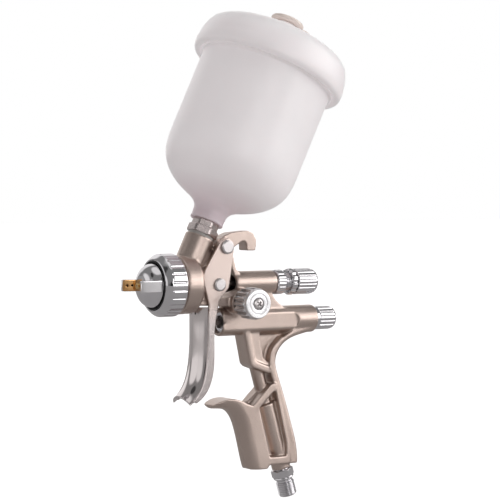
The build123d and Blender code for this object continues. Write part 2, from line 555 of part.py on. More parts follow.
# ---------------------------------------------------------------- write every node
nodes = {
    "gun_body": gun_body,
    "fluid_nozzle": fluid_nozzle,
    "air_distributor": air_distributor,
    "air_cap": air_cap,
    "air_cap_ring": air_cap_ring,
    "cap_seal": cap_seal,
    "fluid_needle": fluid_needle,
    "needle_packing": needle_packing,
    "packing_gland": packing_gland,
    "fluid_bush": fluid_bush,
    "lock_ring": lock_ring,
    "fluid_knob": fluid_knob,
    "spring_seat": spring_seat,
    "needle_spring": needle_spring,
    "air_valve_stem": air_valve_stem,
    "air_valve_bush": air_valve_bush,
    "air_valve_packing": air_valve_packing,
    "air_valve_seat": air_valve_seat,
    "air_valve_spring": air_valve_spring,
    "air_control_bush": air_control_bush,
    "air_spindle": air_spindle,
    "air_knob": air_knob,
    "fan_bush": fan_bush,
    "fan_spindle": fan_spindle,
    "fan_knob": fan_knob,
    "fan_knob_screw": fan_knob_screw,
    "trigger_yoke": trigger_yoke,
    "trigger_blade": trigger_blade,
    "pivot_pin": pivot_pin,
    "pivot_clip": pivot_clip,
    "pull_pins": pull_pins,
    "inlet_nipple": inlet_nipple,
    "cup_connector": cup_connector,
    "cup_gasket": cup_gasket,
    "cup_body": cup_body,
    "cup_lid": cup_lid,
    "lid_seal": lid_seal,
    "vent_cap": vent_cap,
    "vent_strap": vent_strap,
}
for name, make in nodes.items():
    export_step(Pos(-INLET_END.X, 0, -INLET_END.Z) * make(), f"parts/{name}.step")
    print("wrote", name)
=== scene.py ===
# %% [markdown]
# # A gravity-feed spray gun
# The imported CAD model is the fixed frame: its parts have the right size and stand in the right place.
# Everything below only adds looks. Some CAD parts keep their mesh and get a better finish, and others
# are stood in for by smoother surfaces that are worked out here from a few numbers.
# The needle runs along X with the nozzle towards -X, the cup leans back over the grip, and the
# spray width knob sticks out on the -Y side. The origin is the free end of the air inlet.

# %% Load the frame
import json
from math import cos, pi, radians, sin

import bmesh
import bpy
import numpy as np
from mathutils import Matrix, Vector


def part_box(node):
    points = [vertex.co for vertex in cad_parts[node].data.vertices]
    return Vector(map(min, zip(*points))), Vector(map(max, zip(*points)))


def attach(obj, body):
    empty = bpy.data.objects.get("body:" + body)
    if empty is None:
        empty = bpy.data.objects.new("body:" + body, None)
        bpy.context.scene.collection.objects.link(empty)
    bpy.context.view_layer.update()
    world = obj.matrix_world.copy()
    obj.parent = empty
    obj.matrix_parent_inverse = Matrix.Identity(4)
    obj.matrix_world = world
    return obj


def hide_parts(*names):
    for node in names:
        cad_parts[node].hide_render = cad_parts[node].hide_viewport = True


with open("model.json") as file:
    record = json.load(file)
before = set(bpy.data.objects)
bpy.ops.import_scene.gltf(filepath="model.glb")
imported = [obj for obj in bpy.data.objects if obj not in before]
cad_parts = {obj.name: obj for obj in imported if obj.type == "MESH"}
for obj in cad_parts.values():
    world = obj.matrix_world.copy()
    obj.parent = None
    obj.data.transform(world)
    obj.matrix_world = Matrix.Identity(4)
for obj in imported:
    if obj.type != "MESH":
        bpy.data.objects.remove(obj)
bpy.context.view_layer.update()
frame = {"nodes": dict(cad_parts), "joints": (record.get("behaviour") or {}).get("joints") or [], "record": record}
MM = 0.001

# %% [markdown]
# ## Camera
# A long lens from the front left, barely above the needle, keeps the gun's edges almost parallel,
# as a product view does.

# %% Camera
LENS = 130.5
CAMERA_PLACE = (-0.7093, -1.0514, 0.2086)
CAMERA_YAW, CAMERA_TILT = radians(-32.8), radians(90 - 1.667)
camera_data = bpy.data.cameras.new("camera")
camera_data.lens, camera_data.sensor_width = LENS, 36.0
camera = bpy.data.objects.new("camera", camera_data)
camera.location = CAMERA_PLACE
camera.rotation_euler = (CAMERA_TILT, 0.0, CAMERA_YAW)
bpy.context.collection.objects.link(camera)
bpy.context.scene.camera = camera
print("camera", CAMERA_PLACE)

# %% [markdown]
# ## Studio
# Bright plate only looks like metal when it has something dark to reflect. An area lamp would do for
# the light, but not for the reflections, so the studio is painted straight onto the world as soft
# round panels, each with a direction, a size and a brightness. The camera itself sees plain white.

# %% Studio panels
# direction of the panel's middle, half angle in degrees, width of its soft edge in degrees, brightness
STUDIO_BASE = 0.26
STUDIO_PANELS = [
    ((0.80, -0.60, 0.10), 31, 10, 3.20),     # key wall in front on the right
    ((-0.85, 0.45, 0.05), 26, 10, 0.95),     # wall on the left, behind
    ((-0.98, -0.20, 0.12), 16, 8, 0.90),     # wall on the left, in front
    ((-0.18, -0.98, 0.16), 15, 6, 3.10),     # tall lamp beside the camera
    ((0.25, 0.92, 0.30), 34, 12, 1.00),      # back wall
    ((0.00, -0.10, 1.00), 26, 12, 0.90),     # ceiling
    ((-0.55, -0.83, 0.04), 14, 5, 0.02),     # the dark place where the camera stands
    ((0.98, 0.12, 0.00), 8, 3, 0.03),        # narrow black flag on the right
    ((0.30, -0.80, 0.55), 10, 4, 0.06),      # narrow black flag above
    ((-0.70, -0.10, 0.70), 12, 4, 0.06),     # narrow black flag on the left
]


def paint_studio(tree):
    """Brightness by direction: starts at the base and is mixed towards each panel's level in turn,
    by a smooth step of the cosine between the direction and the panel's middle."""
    nodes, links = tree.nodes, tree.links
    nodes.clear()
    out, mix = nodes.new("ShaderNodeOutputWorld"), nodes.new("ShaderNodeMixShader")
    seen, sent = nodes.new("ShaderNodeBackground"), nodes.new("ShaderNodeBackground")
    path, place = nodes.new("ShaderNodeLightPath"), nodes.new("ShaderNodeTexCoord")
    seen.inputs["Color"].default_value = (1, 1, 1, 1)
    level = None
    for middle, half, soft, brightness in STUDIO_PANELS:
        aim, step, blend = (nodes.new("ShaderNodeVectorMath"), nodes.new("ShaderNodeMapRange"),
                            nodes.new("ShaderNodeMix"))
        aim.operation, step.interpolation_type = "DOT_PRODUCT", "SMOOTHSTEP"
        aim.inputs[1].default_value = tuple(np.array(middle) / np.linalg.norm(middle))
        step.inputs["From Min"].default_value = cos(radians(half + soft / 2))
        step.inputs["From Max"].default_value = cos(radians(half - soft / 2))
        blend.inputs["A"].default_value = STUDIO_BASE
        blend.inputs["B"].default_value = brightness
        links.new(place.outputs["Generated"], aim.inputs[0])
        links.new(aim.outputs["Value"], step.inputs["Value"])
        links.new(step.outputs["Result"], blend.inputs["Factor"])
        if level is not None:
            links.new(level, blend.inputs["A"])
        level = blend.outputs["Result"]
    links.new(level, sent.inputs["Strength"])
    sent.inputs["Color"].default_value = (1.0, 0.985, 0.98, 1)
    links.new(path.outputs["Is Camera Ray"], mix.inputs["Fac"])
    links.new(sent.outputs[0], mix.inputs[1])
    links.new(seen.outputs[0], mix.inputs[2])
    links.new(mix.outputs[0], out.inputs["Surface"])


world = bpy.data.worlds.new("studio")
bpy.context.scene.world = world
world.use_nodes = True
paint_studio(world.node_tree)
bpy.context.scene.view_settings.view_transform = "Standard"
print("studio panels", len(STUDIO_PANELS))

# %% Floor
FLOOR_DROP, FLOOR_REACH = 0.30, 30.0
corner = FLOOR_REACH * np.array([(-1, -1), (1, -1), (1, 1), (-1, 1)])
floor_mesh = bpy.data.meshes.new("floor")
floor_mesh.from_pydata(np.column_stack([corner, np.full(4, -FLOOR_DROP)]).tolist(), [], [(0, 1, 2, 3)])
floor = bpy.data.objects.new("floor", floor_mesh)
bpy.context.collection.objects.link(floor)
floor_finish = bpy.data.materials.new("pale_floor")
floor_finish.use_nodes = True
floor_paint = floor_finish.node_tree.nodes["Principled BSDF"]
floor_paint.inputs["Base Color"].default_value = (0.55, 0.54, 0.54, 1)
floor_paint.inputs["Roughness"].default_value = 0.9
floor_paint.inputs["Emission Color"].default_value = (1, 1, 1, 1)
# the floor glows only for the camera, so that it stays pale but doesn't light the gun from below
floor_tree = floor_finish.node_tree
floor_seen, floor_glow = floor_tree.nodes.new("ShaderNodeLightPath"), floor_tree.nodes.new("ShaderNodeMath")
floor_glow.operation = "MULTIPLY"
floor_glow.inputs[1].default_value = 0.76
floor_tree.links.new(floor_seen.outputs["Is Camera Ray"], floor_glow.inputs[0])
floor_tree.links.new(floor_glow.outputs[0], floor_paint.inputs["Emission Strength"])
floor_mesh.materials.append(floor_finish)
print("floor at", -FLOOR_DROP)

# %% [markdown]
# ## Finishes
# Every finish starts from the same small kit: a node group that makes fine grain and slow, cloudy
# patches from the object's own coordinates, like blasting and handling marks. The shader stays in
# each material, with its constant values on its own sockets.

# %% Grain group
def grain_group():
    """Fine random grain at Scale grains per metre, and slow patches at Patch Scale, both 0 to 1."""
    group = bpy.data.node_groups.new("surface_grain", "ShaderNodeTree")
    for label, value in (("Scale", 4000.0), ("Patch Scale", 60.0)):
        socket = group.interface.new_socket(label, in_out="INPUT", socket_type="NodeSocketFloat")
        socket.default_value = value
    for label in ("Grain", "Patches"):
        group.interface.new_socket(label, in_out="OUTPUT", socket_type="NodeSocketFloat")
    start, end = group.nodes.new("NodeGroupInput"), group.nodes.new("NodeGroupOutput")
    place = group.nodes.new("ShaderNodeTexCoord")
    for label, result, detail in (("Scale", "Grain", 2.0), ("Patch Scale", "Patches", 3.0)):
        noise = group.nodes.new("ShaderNodeTexNoise")
        noise.inputs["Detail"].default_value = detail
        group.links.new(place.outputs["Object"], noise.inputs["Vector"])
        group.links.new(start.outputs[label], noise.inputs["Scale"])
        group.links.new(noise.outputs["Fac"], end.inputs[result])
    return group


GRAIN = grain_group()


# %% Finish kit
class Finish:
    """A material with its Principled shader and the grain group, ready to be joined up."""

    def __init__(self, name, metallic, roughness, grain=4000.0, patch=60.0):
        self.material = bpy.data.materials.new(name)
        self.material.use_nodes = True
        self.tree = self.material.node_tree
        self.shader = self.tree.nodes["Principled BSDF"]
        self.shader.inputs["Metallic"].default_value = metallic
        self.shader.inputs["Roughness"].default_value = roughness
        self.grain = self.add("ShaderNodeGroup")
        self.grain.node_tree = GRAIN
        self.grain.inputs["Scale"].default_value = grain
        self.grain.inputs["Patch Scale"].default_value = patch

    def add(self, kind):
        """New node of that kind in this material."""
        return self.tree.nodes.new(kind)

    def tint(self, source, low, high, start=0.3, end=0.7):
        """Colour that goes from low to high as a mask goes from start to end."""
        node = self.add("ShaderNodeMix")
        node.data_type = "RGBA"
        node.inputs["A"].default_value, node.inputs["B"].default_value = (*low, 1), (*high, 1)
        self.tree.links.new(self.scaled(source, 0.0, 1.0, start, end), node.inputs["Factor"])
        return node.outputs["Result"]

    def scaled(self, source, low, high, start=0.3, end=0.7):
        """Number that goes from low to high as a mask goes from start to end."""
        node = self.add("ShaderNodeMapRange")
        for label, value in (("From Min", start), ("From Max", end), ("To Min", low), ("To Max", high)):
            node.inputs[label].default_value = value
        self.tree.links.new(source, node.inputs["Value"])
        return node.outputs["Result"]

    def mixed(self, factor, a, b):
        """Colour a where the factor is 0 and colour b where it is 1."""
        node = self.add("ShaderNodeMix")
        node.data_type = "RGBA"
        for label, value in (("Factor", factor), ("A", a), ("B", b)):
            if isinstance(value, tuple):
                node.inputs[label].default_value = (*value, 1)
            else:
                self.tree.links.new(value, node.inputs[label])
        return node.outputs["Result"]

    def mark(self, name):
        """The piece's own 0 to 1 attribute of that name."""
        node = self.add("ShaderNodeAttribute")
        node.attribute_name = name
        return node.outputs["Fac"]

    def feed(self, socket, source):
        """Joins a source to one of the shader's sockets."""
        self.tree.links.new(source, self.shader.inputs[socket])

    def bump(self, height, depth, edge_radius=0.0):
        """Bump from a 0 to 1 height over depth metres, with edges rounded in shading by edge_radius."""
        node = self.add("ShaderNodeBump")
        node.inputs["Distance"].default_value = depth
        self.tree.links.new(height, node.inputs["Height"])
        if edge_radius:
            rounding = self.add("ShaderNodeBevel")
            rounding.samples = 4
            rounding.inputs["Radius"].default_value = edge_radius
            self.tree.links.new(rounding.outputs["Normal"], node.inputs["Normal"])
        self.feed("Normal", node.outputs["Normal"])


# %% [markdown]
# ### Metals
# The casting and the trigger's cheeks are blasted and then coated in satin champagne: a metal with a
# fairly rough surface, a fine sandy grain and slow changes of tone. Knobs, ring and cap are chrome
# plate, which needs a little cloudiness so that it doesn't look like a perfect mirror.

# %% Metal finishes
def metal(name, low, high, smooth, rough, grain, patch, depth, edge_radius, metallic=1.0):
    """Metal that drifts between two colours in patches and between two roughnesses in its grain."""
    f = Finish(name, metallic, rough, grain, patch)
    f.feed("Base Color", f.tint(f.grain.outputs["Patches"], low, high))
    f.feed("Roughness", f.scaled(f.grain.outputs["Grain"], smooth, rough))
    f.bump(f.grain.outputs["Grain"], depth, edge_radius)
    return f


champagne = metal("champagne_coat", (0.50, 0.405, 0.36), (0.565, 0.465, 0.415), 0.25, 0.36, 5200, 34,
                  0.00006, 0.0006, metallic=0.92)
bright_plate = metal("bright_plate", (0.64, 0.63, 0.65), (0.72, 0.71, 0.73), 0.04, 0.09, 90, 60,
                     0.00001, 0.00025)
satin_plate = metal("satin_plate", (0.56, 0.53, 0.53), (0.64, 0.61, 0.61), 0.26, 0.38, 7000, 120,
                    0.00002, 0.0003)
turned_steel = metal("turned_steel", (0.52, 0.48, 0.47), (0.66, 0.62, 0.61), 0.20, 0.32, 6000, 150,
                     0.00002, 0.0003)
nut_steel = metal("nickelled_steel", (0.50, 0.44, 0.43), (0.60, 0.54, 0.53), 0.18, 0.30, 2600, 90,
                  0.00003, 0.0003)
machined_brass = metal("machined_brass", (0.66, 0.42, 0.17), (0.82, 0.58, 0.27), 0.18, 0.30, 6000, 160,
                       0.00002, 0.0002)
print("metals made")


# %% Horn plate
def horn_plate():
    """Chrome with a gilt inner face and drillings painted near black as the shade inside them, both told by
    attributes of the piece.
    """
    f = Finish("gilt_and_chrome", 1.0, 0.12, 90, 60)
    chrome = f.tint(f.grain.outputs["Patches"], (0.76, 0.75, 0.765), (0.86, 0.85, 0.865))
    gilt = f.tint(f.grain.outputs["Patches"], (0.62, 0.33, 0.13), (0.86, 0.55, 0.26))
    plated = f.mixed(f.mark("gilt"), chrome, gilt)
    # painted shade: the drillings are painted near black for the shade inside the holes
    f.feed("Base Color", f.mixed(f.mark("hole_and_shade"), plated, (0.02, 0.015, 0.012)))
    f.feed("Roughness", f.scaled(f.mark("hole_and_shade"), 0.12, 0.6, 0.0, 1.0))
    f.bump(f.grain.outputs["Grain"], 0.00001, 0.0002)
    return f


gilt_and_chrome = horn_plate()


# %% Trigger plate
BARE_BELOW, BARE_FADE = 0.130, 0.008


def cheek_plate():
    """Champagne coat above and bare polished plate below, told by the height on the trigger."""
    f = Finish("cheek_plate", 0.95, 0.3, 5200, 34)
    place, split = f.add("ShaderNodeTexCoord"), f.add("ShaderNodeSeparateXYZ")
    f.tree.links.new(place.outputs["Object"], split.inputs[0])
    bare = f.scaled(split.outputs["Z"], 1.0, 0.0, BARE_BELOW - BARE_FADE, BARE_BELOW + BARE_FADE)
    coat = f.tint(f.grain.outputs["Patches"], (0.58, 0.48, 0.44), (0.64, 0.54, 0.495))
    f.feed("Base Color", f.mixed(bare, coat, (0.66, 0.60, 0.59)))
    f.feed("Roughness", f.scaled(bare, 0.34, 0.13, 0.0, 1.0))
    f.bump(f.grain.outputs["Grain"], 0.00003, 0.0004)
    return f


trigger_coat = cheek_plate()


# %% Polished plate for the finger blade, with painted shade for its holes
def plate_with_painted_holes():
    """Polished plate with the blade's two small rivet holes painted near black as their inner shade, told by an
    attribute of the piece.
    """
    f = Finish("plate_with_painted_holes", 1.0, 0.12, 120, 60)
    plate = f.tint(f.grain.outputs["Patches"], (0.68, 0.63, 0.625), (0.76, 0.71, 0.705))
    # painted shade: the two rivet holes are painted near black on the smooth plate, which has no holes cut
    f.feed("Base Color", f.mixed(f.mark("hole_and_shade"), plate, (0.02, 0.015, 0.015)))
    f.feed("Roughness", f.scaled(f.grain.outputs["Grain"], 0.09, 0.15))
    f.bump(f.grain.outputs["Grain"], 0.00001)
    return f


blade_plate = plate_with_painted_holes()


# %% [markdown]
# ### Turned face of the spray width knob
# A lathe leaves fine rings round its centre. They come from the distance to the knob's own axis, so
# the rings stay with the knob wherever the light is.

# %% Turned face
def turned_face(middle):
    """Satin plate with fine rings: a sine of the distance from the axis through middle along Y."""
    f = Finish("turned_face", 1.0, 0.3, 7000, 120)
    place, wave = f.add("ShaderNodeTexCoord"), f.add("ShaderNodeMath")
    shift, flat, length = (f.add("ShaderNodeVectorMath") for _ in range(3))
    shift.operation, flat.operation, length.operation = "SUBTRACT", "MULTIPLY", "LENGTH"
    shift.inputs[1].default_value = tuple(middle)
    flat.inputs[1].default_value = (1.0, 0.0, 1.0)
    spin = f.add("ShaderNodeMath")
    spin.operation, wave.operation = "MULTIPLY", "SINE"
    spin.inputs[1].default_value = 2 * pi / 0.00034
    for a, b in ((place.outputs["Object"], shift.inputs[0]), (shift.outputs[0], flat.inputs[0]),
                 (flat.outputs[0], length.inputs[0]), (length.outputs["Value"], spin.inputs[0]),
                 (spin.outputs[0], wave.inputs[0])):
        f.tree.links.new(a, b)
    f.feed("Base Color", f.tint(f.grain.outputs["Patches"], (0.79, 0.785, 0.80), (0.88, 0.875, 0.89)))
    f.feed("Roughness", f.scaled(wave.outputs[0], 0.20, 0.34, -1.0, 1.0))
    f.bump(f.scaled(wave.outputs[0], 0.0, 1.0, -1.0, 1.0), 0.000012, 0.0002)
    return f


# %% [markdown]
# ### Plastics and seals
# The cup is moulded in milky plastic: light soaks in a little before it comes back out, so its
# shadows are soft, and a faint painted glow in the plastic's own colour stands in for light coming
# through from behind and makes them paler still. A metal sleeve stands inside the neck and shows
# through it as a mauve shade, which is painted by height along the cup's own axis. The vent plug is a
# warmer cream.

# %% Cup axis and milky plastic
joint = {row["name"]: row for row in frame["joints"]}
CUP_FOOT = np.array(joint["cup_turn"]["pos_m"])
CUP_AXIS = np.array(joint["cup_turn"]["axis"], float)


def milky_plastic(name, tint, neck=None):
    """Translucent moulding with a faint painted glow in its own colour, standing in for backlight;
    neck is the shade by the sleeve, which fades out 16 mm above the foot.
    """
    f = Finish(name, 0.0, 0.34, 1500, 22)
    cloudy = tuple(v * 0.955 for v in tint)
    colour = f.tint(f.grain.outputs["Patches"], cloudy, tint)
    if neck:
        place, height = f.add("ShaderNodeTexCoord"), f.add("ShaderNodeVectorMath")
        height.operation = "DOT_PRODUCT"
        height.inputs[1].default_value = tuple(CUP_AXIS)
        f.tree.links.new(place.outputs["Object"], height.inputs[0])
        foot = float(CUP_FOOT @ CUP_AXIS)
        low = f.scaled(height.outputs["Value"], 1.0, 0.0, foot + 0.005, foot + 0.024)
        colour = f.mixed(low, colour, neck)
    f.feed("Base Color", colour)
    f.feed("Roughness", f.scaled(f.grain.outputs["Patches"], 0.28, 0.38))
    f.bump(f.grain.outputs["Grain"], 0.00001)
    f.shader.inputs["Subsurface Weight"].default_value = 0.6
    f.shader.inputs["Subsurface Radius"].default_value = (1.0, 0.85, 0.85)
    f.shader.inputs["Subsurface Scale"].default_value = 0.010
    f.shader.inputs["IOR"].default_value = 1.49
    # painted glow: the plastic faintly emits its own colour, standing in for backlight coming through it
    f.feed("Emission Color", colour)
    f.shader.inputs["Emission Strength"].default_value = 0.20
    return f


def soft_plastic(name, low, high, roughness):
    """Opaque plastic or rubber with a matt, slightly uneven skin."""
    f = Finish(name, 0.0, roughness, 5000, 120)
    f.feed("Base Color", f.tint(f.grain.outputs["Patches"], low, high))
    f.feed("Roughness", f.scaled(f.grain.outputs["Grain"], roughness - 0.06, roughness + 0.06))
    f.bump(f.grain.outputs["Grain"], 0.00003)
    return f


cup_plastic = milky_plastic("cup_plastic", (0.80, 0.765, 0.775), (0.56, 0.47, 0.50))
lid_plastic = milky_plastic("lid_plastic", (0.82, 0.785, 0.795))
vent_plastic = soft_plastic("vent_plastic", (0.80, 0.70, 0.64), (0.86, 0.77, 0.71), 0.42)
black_seal = soft_plastic("black_seal", (0.010, 0.010, 0.011), (0.022, 0.022, 0.024), 0.5)
white_packing = soft_plastic("white_packing", (0.40, 0.38, 0.36), (0.48, 0.46, 0.44), 0.45)

# %% Dress the CAD nodes
FINISH_OF_SLOT = {"champagne": champagne, "chrome": bright_plate, "satin_chrome": satin_plate,
                  "steel": turned_steel, "brass": machined_brass, "black_seal": black_seal,
                  "ptfe": white_packing, "cup_plastic": cup_plastic, "lid_plastic": lid_plastic,
                  "vent_plastic": vent_plastic}
slot_of = {row["node"]: row["material_slot"] for row in frame["record"]["subparts"]}
body_of = {node: body for body, nodes in frame["record"]["behaviour"]["bodies"].items() for node in nodes}
for name, node in frame["nodes"].items():
    for place in node.material_slots:
        place.material = FINISH_OF_SLOT[slot_of[name]].material
for name in ("pivot_pin", "pull_pins"):
    frame["nodes"][name].material_slots[0].material = satin_plate.material
print("dressed", len(slot_of), "CAD nodes")

# %% [markdown]
# ## Surfaces from profiles
# Most of the gun is turned on a lathe, so most pieces are one profile carried round an axis.
# A plain Spin or Screw modifier would do that too, but worked out in numpy the radius can also
# change with the angle, which gives flutes, hexagons and real screw threads on the same surface.

# %% Profile helpers
def soften(points, reach, steps=5):
    """Rounds the inner corners of an open line: each corner P becomes the quadratic curve
    (1-t)^2 A + 2t(1-t) P + t^2 B between points A and B that lie reach away along its two sides."""
    p = np.asarray(points, float)
    back, on = p[:-2] - p[1:-1], p[2:] - p[1:-1]
    back_len, on_len = np.linalg.norm(back, axis=1), np.linalg.norm(on, axis=1)
    cut = np.minimum(np.broadcast_to(reach, back_len.shape), 0.48 * np.minimum(back_len, on_len))
    a = p[1:-1] + back * (cut / back_len)[:, None]
    b = p[1:-1] + on * (cut / on_len)[:, None]
    t = np.linspace(0, 1, steps)[None, :, None]
    arcs = (1 - t) ** 2 * a[:, None] + 2 * t * (1 - t) * p[1:-1, None] + t ** 2 * b[:, None]
    return np.vstack([p[:1], arcs.reshape(-1, p.shape[1]), p[-1:]])


def soften_loop(points, reach, steps=5):
    """The same for a closed line, which comes back without its first point repeated."""
    p = np.asarray(points, float)
    return soften(np.vstack([p[-1:], p, p[:1]]), reach, steps)[1:-1]


def fill_in(line, step):
    """Adds points so that none lie further apart than step, keeping the line's own points."""
    run = np.concatenate([[0], np.cumsum(np.linalg.norm(np.diff(line, axis=0), axis=1))])
    at = np.unique(np.round(np.concatenate([run, np.arange(0, run[-1], step)]), 7))
    return np.column_stack([np.interp(at, run, column) for column in line.T])


def rise(x, start, end):
    """Smooth step from 0 at start to 1 at end: t^2 (3 - 2t)."""
    t = np.clip((x - start) / (end - start), 0, 1)
    return t * t * (3 - 2 * t)


# %% Mesh from a grid
def grid_faces(rows, columns, close_rows, close_columns):
    """Four corner indices for each cell of a rows by columns grid of points."""
    i = np.arange(rows if close_rows else rows - 1)[:, None]
    j = np.arange(columns if close_columns else columns - 1)[None, :]
    i2, j2 = (i + 1) % rows, (j + 1) % columns
    corners = [i * columns + j, i * columns + j2, i2 * columns + j2, i2 * columns + j]
    return np.stack([np.broadcast_to(c, (i.size, j.size)) for c in corners], -1).reshape(-1, 4)


def piece_from(name, points, faces, finish, node, marks=None):
    """Object from an array of points in metres and face corners: doubles merged, so that poles and
    seams close, faces turned outwards, dressed, riding on its CAD node's body and standing for it."""
    mesh = bpy.data.meshes.new(name)
    mesh.from_pydata(points.reshape(-1, 3).tolist(), [], faces.tolist())
    for label, values in (marks or {}).items():
        layer = mesh.attributes.new(label, "FLOAT", "POINT")
        layer.data.foreach_set("value", values.ravel().astype(np.float32))
    work = bmesh.new()
    work.from_mesh(mesh)
    bmesh.ops.remove_doubles(work, verts=work.verts, dist=2e-7)
    bmesh.ops.recalc_face_normals(work, faces=work.faces)
    work.to_mesh(mesh)
    work.free()
    mesh.shade_smooth()
    mesh.materials.append(finish.material)
    piece = bpy.data.objects.new(name, mesh)
    bpy.context.collection.objects.link(piece)
    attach(piece, body_of[node])
    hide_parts(node)
    print(name, len(mesh.polygons), "faces")
    return piece


# %% Lathe
def square_axes(direction):
    """Two unit vectors square to a direction and to each other, right-handed with it."""
    w = np.asarray(direction, float) / np.linalg.norm(direction)
    side = np.array([0.0, 1.0, 0.0]) if abs(w[1]) < 0.9 else np.array([0.0, 0.0, 1.0])
    u = np.cross(side, w)
    u /= np.linalg.norm(u)
    return u, np.cross(w, u), w


def lathe(name, profile, place, direction, finish, node, turns=96, reach=None, lift=None, loop=True):
    """Surface of revolution. A point is place + s*w + R*(cos(a)*u + sin(a)*v), where w is the axis,
    u and v are square to it, s and r come from the profile in millimetres, and R is r, or
    reach(s, a, r) where the radius changes with the angle. lift(s, a, r) is added along the axis."""
    u, v, w = square_axes(direction)
    s, r = profile[:, :1], profile[:, 1:]
    a = np.arange(turns)[None, :] * (2 * pi / turns)
    radius = np.broadcast_to(r, (len(s), turns)) if reach is None else reach(s, a, r)
    along = np.broadcast_to(s, (len(s), turns)) + (0 if lift is None else lift(s, a, radius))
    points = (np.asarray(place) + MM * (along[..., None] * w + (radius * np.cos(a))[..., None] * u
              + (radius * np.sin(a))[..., None] * v))
    return piece_from(name, points, grid_faces(len(s), turns, loop, True), finish, node)


def flutes(count, depth, width, start, end, run_out=1.2, outside=0.0):
    """Radius function: round-bottomed grooves, depth*(1-(x/width)^2) where x is the distance from
    the groove's middle in half pitches, between start and end along the axis."""
    def radius(s, a, r):
        x = np.abs(((a * count / (2 * pi)) % 1.0) * 2 - 1)
        groove = np.clip(1 - (x / width) ** 2, 0, 1)
        ends = rise(s, start, start + run_out) * (1 - rise(s, end - run_out, end)) * (r > outside)
        return r - depth * groove * ends
    return radius


def six_sided(across, start, end, blunt=0.25):
    """Radius function: the smaller of r and a hexagon's radius, (across/2)/cos(angle from the middle
    of a flat), its corners blunted, between start and end along the axis."""
    def radius(s, a, r):
        off = (a + pi / 6) % (pi / 3) - pi / 6
        flat = across / 2 / np.cos(off)
        flat = np.minimum(flat, across / 2 / cos(pi / 6) - blunt)
        return np.where((s > start) & (s < end), np.minimum(r, flat), r + 0 * flat)
    return radius


def threaded(pitch, depth, start, end):
    """Radius function: a right-hand V thread, cut by depth*(1 - |2f-1|) where f is the fraction of
    s/pitch - a/(2 pi), fading in and out at both ends."""
    def radius(s, a, r):
        f = (s / pitch - a / (2 * pi)) % 1.0
        cut = depth * np.clip(1.25 * (1 - np.abs(2 * f - 1)), 0, 1)
        return r - cut * rise(s, start, start + pitch) * (1 - rise(s, end - pitch, end))
    return radius


def chain(*functions):
    """Radius function that applies several in turn."""
    def radius(s, a, r):
        for f in functions:
            r = f(s, a, r)
        return r
    return radius


X_AXIS = np.array([1.0, 0.0, 0.0])


def span(node):
    """The box of a CAD node as two arrays, and its middle."""
    low, high = (np.array(corner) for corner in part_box(node))
    return low, high, (low + high) / 2


def x_end(node):
    """Middle of the node's box, moved to its low end along X."""
    low, _, middle = span(node)
    return np.array([low[0], middle[1], middle[2]])


# %% [markdown]
# ## The casting
# The body is one investment casting, so its edges and its inner corners are all slightly round.
# Bevelling a mesh with this many crossings fails somewhere, so a copy of the CAD body is rebuilt as
# even voxels and then relaxed, which rounds every edge by about half a millimetre, and no more.

# %% Casting
def rounded_copy(node, name, voxel, passes, finish, limit):
    """Copy of a CAD node, merged, rebuilt in voxels, relaxed and thinned to at most limit triangles."""
    mesh = frame["nodes"][node].data.copy()
    mesh.name = name
    work = bmesh.new()
    work.from_mesh(mesh)
    bmesh.ops.remove_doubles(work, verts=work.verts, dist=1e-6)
    work.to_mesh(mesh)
    work.free()
    piece = bpy.data.objects.new(name, mesh)
    bpy.context.collection.objects.link(piece)
    rebuild = piece.modifiers.new("rebuild", "REMESH")
    rebuild.mode, rebuild.voxel_size = "VOXEL", voxel
    relax = piece.modifiers.new("relax", "SMOOTH")
    relax.factor, relax.iterations = 0.5, passes
    graph = bpy.context.evaluated_depsgraph_get()
    count = 2 * len(piece.evaluated_get(graph).data.polygons)
    if count > limit:
        thin = piece.modifiers.new("thin", "DECIMATE")
        thin.ratio = limit / count
        graph = bpy.context.evaluated_depsgraph_get()
    rounded = bpy.data.meshes.new_from_object(piece.evaluated_get(graph))
    piece.modifiers.clear()
    piece.data = rounded
    rounded.shade_smooth()
    rounded.materials.clear()
    rounded.materials.append(finish.material)
    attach(piece, body_of[node])
    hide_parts(node)
    print(name, "voxel", voxel, "faces", len(rounded.polygons), "from", count)
    return piece


casting = rounded_copy("gun_body", "casting", 0.00055, 3, champagne, 190000)
cheeks = rounded_copy("trigger_yoke", "trigger_cheeks", 0.00035, 3, trigger_coat, 120000)

# %% [markdown]
# ## Paint cup
# The cup is blow-moulded, so its shoulder is one smooth bulge and its wall is thin. It is a closed
# profile, outside and inside, carried round the cup's axis; heights are in millimetres above the
# foot of the plastic neck. The lid's skirt swells at the bottom and its shoulder carries low ribs.

# %% Cup
CUP_OUTSIDE = [(0.0, 11.9), (2.4, 11.4), (8.0, 11.8), (11.4, 13.8), (14.4, 18.0), (18.0, 26.0), (22.4, 33.6),
               (29.0, 40.6), (37.0, 44.9), (46.5, 46.35), (111.0, 46.55), (112.0, 48.1), (130.0, 48.1)]
CUP_INSIDE = [(130.0, 46.2), (111.0, 45.0), (46.5, 44.6), (37.8, 43.2), (30.4, 39.2), (24.2, 32.6),
              (19.9, 25.2), (16.2, 16.6), (13.4, 11.0), (12.8, 9.1), (0.0, 9.1)]
cup_line = soften_loop(CUP_OUTSIDE + CUP_INSIDE, 4.5, 8)
cup_line = fill_in(np.vstack([cup_line, cup_line[:1]]), 3.0)[:-1]
cup = lathe("paint_cup", cup_line, CUP_FOOT, CUP_AXIS, cup_plastic, "cup_body", turns=160)


# %% Lid
def shoulder_ribs(s, a, r):
    """Low ribs round the lid's shoulder, where the outside turns from the skirt to the top."""
    x = np.abs(((a * 20 / (2 * pi)) % 1.0) * 2 - 1)
    rib = np.clip(1 - (x / 0.16) ** 2, 0, 1)
    return r + 0.3 * rib * rise(s, 128.0, 132.0) * (1 - rise(s, 135.6, 137.6)) * (r > 46.5)


